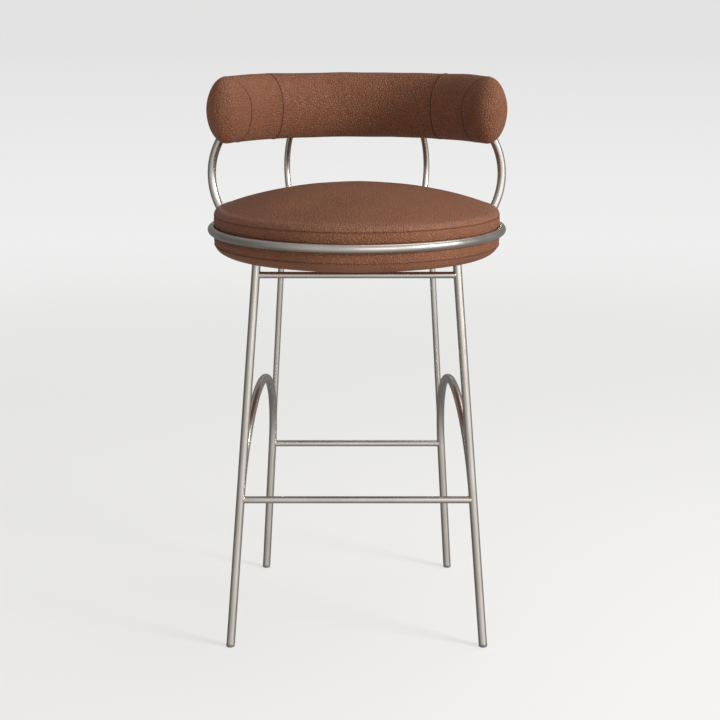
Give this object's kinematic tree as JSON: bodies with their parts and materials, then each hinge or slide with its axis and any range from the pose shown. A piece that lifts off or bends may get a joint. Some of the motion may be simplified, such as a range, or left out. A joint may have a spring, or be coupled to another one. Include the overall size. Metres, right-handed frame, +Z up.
{
  "type": "bar stool",
  "caption": "Bar stool with a round leather seat in a metal hoop, a curved padded back on bowed uprights, splayed tube legs with side arches and a footrest.",
  "frame": {"origin": "on the floor, under the centre of the bounding box", "axes": "+Z up, the sitter faces -Y, +X is the right side seen from the front"},
  "size_m": [0.5342, 0.5424, 0.954],
  "materials": {
    "satin_nickel": "satin",
    "zinc_steel": "zinc plated",
    "glide_plastic": "matte",
    "plywood": "bare",
    "foam": "open foam",
    "brown_leather": "pebbled semi-matt"
  },
  "bodies": {
    "root": {"front_leg_left": "satin_nickel", "front_leg_right": "satin_nickel", "rear_leg_arch_left": "satin_nickel", "rear_leg_arch_right": "satin_nickel", "rear_strut_left": "satin_nickel", "rear_strut_right": "satin_nickel", "top_rail": "satin_nickel", "footrest_rail": "satin_nickel", "rear_rail": "satin_nickel", "leg_plate_front_left": "satin_nickel", "leg_plate_front_right": "satin_nickel", "leg_plate_rear_left": "satin_nickel", "leg_plate_rear_right": "satin_nickel", "hoop": "satin_nickel", "side_upright_left": "satin_nickel", "side_upright_right": "satin_nickel", "rear_upright_left": "satin_nickel", "rear_upright_right": "satin_nickel", "leg_screws": "zinc_steel", "leg_nuts": "zinc_steel", "hoop_bosses": "zinc_steel", "hoop_screws": "zinc_steel", "back_screws": "zinc_steel", "back_bar": "zinc_steel", "foot_glide_front_left": "glide_plastic", "foot_glide_front_right": "glide_plastic", "foot_glide_rear_left": "glide_plastic", "foot_glide_rear_right": "glide_plastic", "seat_base_board": "plywood", "seat_rim": "plywood", "seat_deck": "plywood", "back_board": "plywood", "seat_foam": "foam", "seat_band_foam": "foam", "back_foam": "foam", "seat_top_cover": "brown_leather", "seat_side_band": "brown_leather", "back_cover_centre": "brown_leather", "back_cover_side_left": "brown_leather", "back_cover_side_right": "brown_leather", "back_cover_end_left": "brown_leather", "back_cover_end_right": "brown_leather", "seat_bottom_cover": "brown_leather"}
  },
  "joints": []
}
